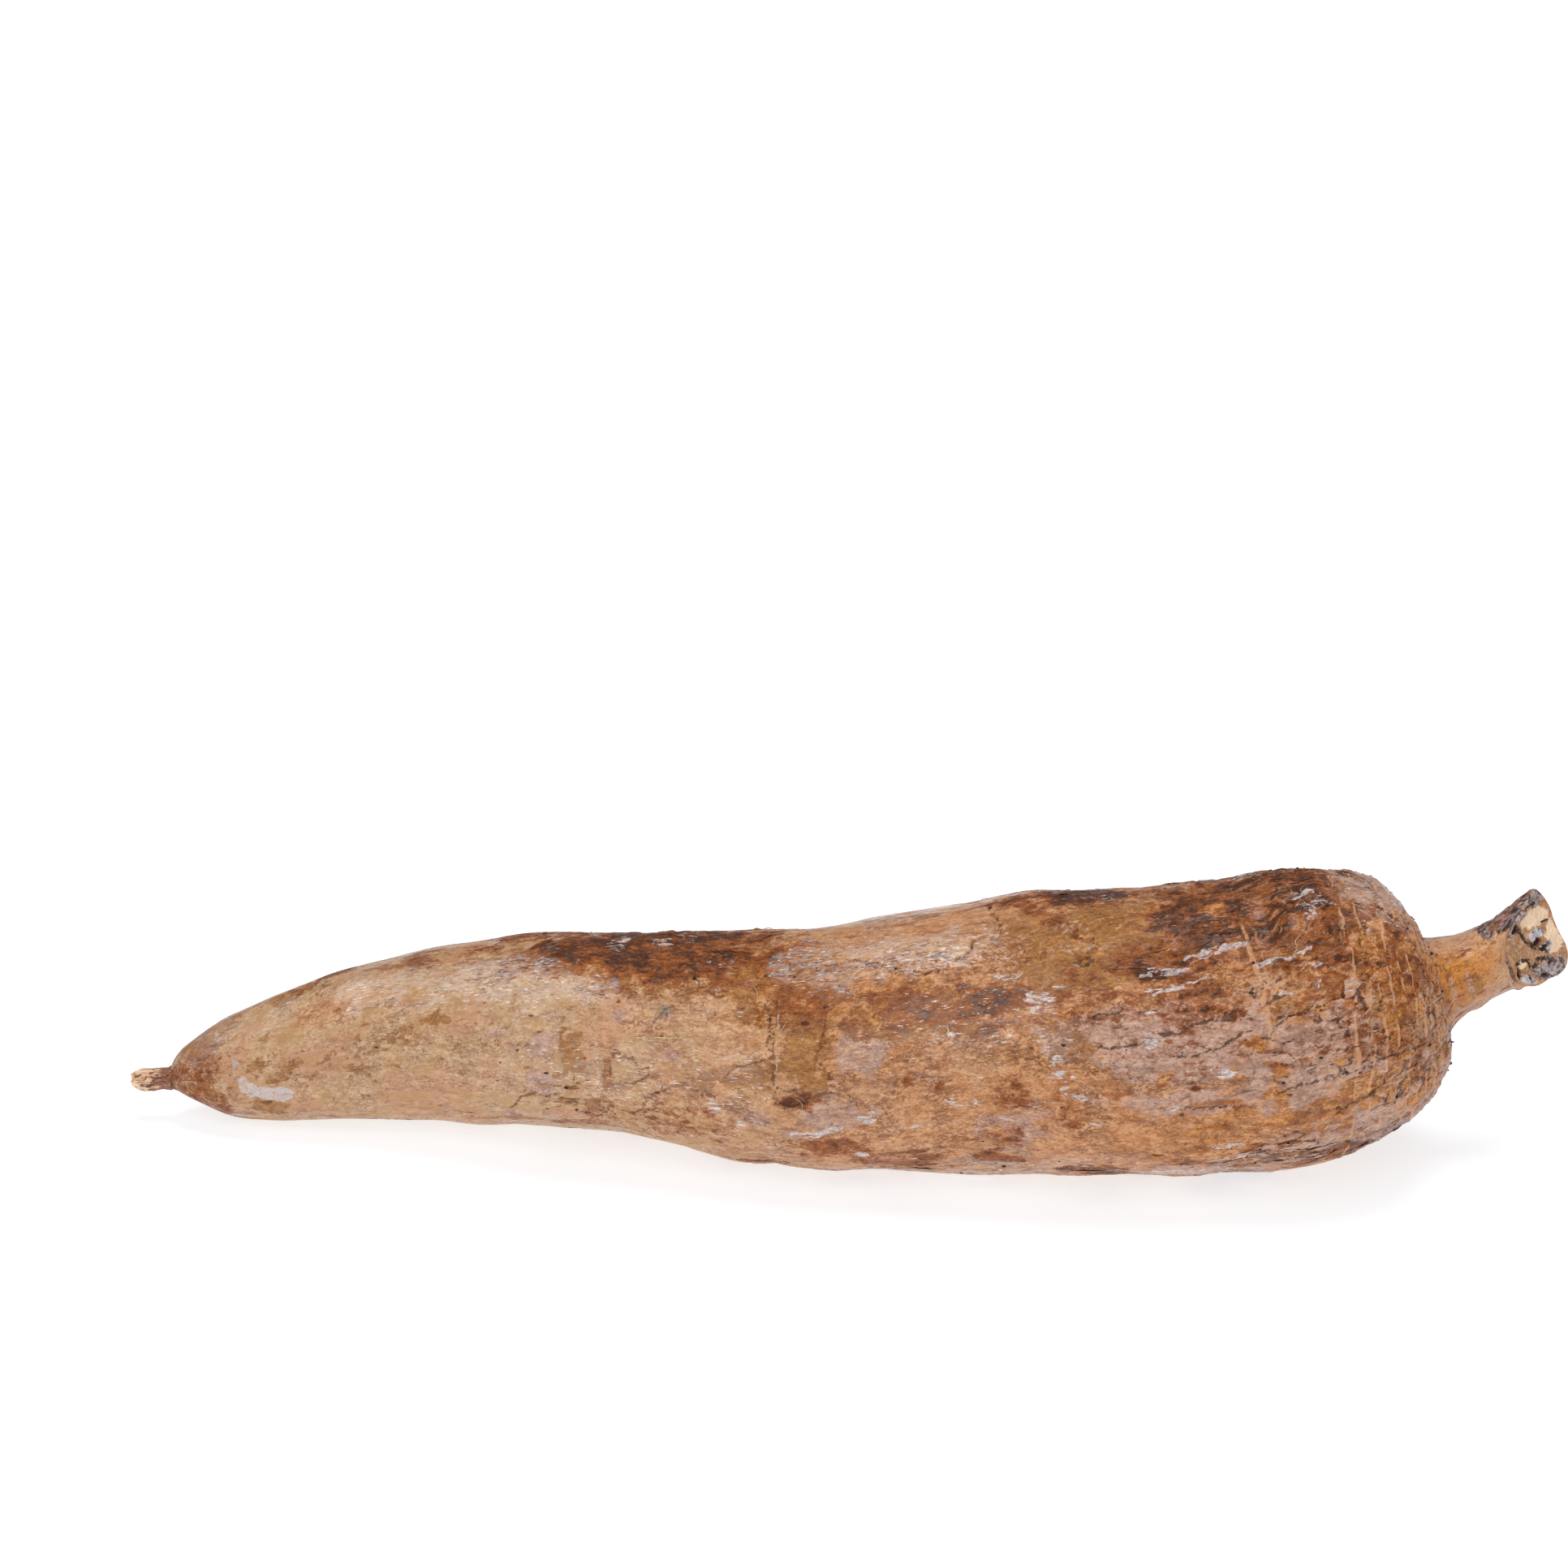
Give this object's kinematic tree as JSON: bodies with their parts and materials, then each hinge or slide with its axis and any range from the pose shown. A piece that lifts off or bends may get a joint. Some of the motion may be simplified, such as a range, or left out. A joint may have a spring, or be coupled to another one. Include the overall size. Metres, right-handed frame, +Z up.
{
  "type": "cassava root",
  "caption": "Whole cassava root: a bark-covered body that swells from a thin broken tail to a blunt shoulder with the cut woody neck of its stem.",
  "frame": {"origin": "on the surface the root lies on, below the middle of its bounding box", "axes": "+X from the tail to the neck, +Z up, -Y the front of the root"},
  "size_m": [0.3576, 0.0802, 0.0749],
  "materials": {
    "bark": "thin papery cork bark, brown over tan, satin with a wax coat"
  },
  "bodies": {
    "root": {"cassava_root": "bark"}
  },
  "joints": []
}
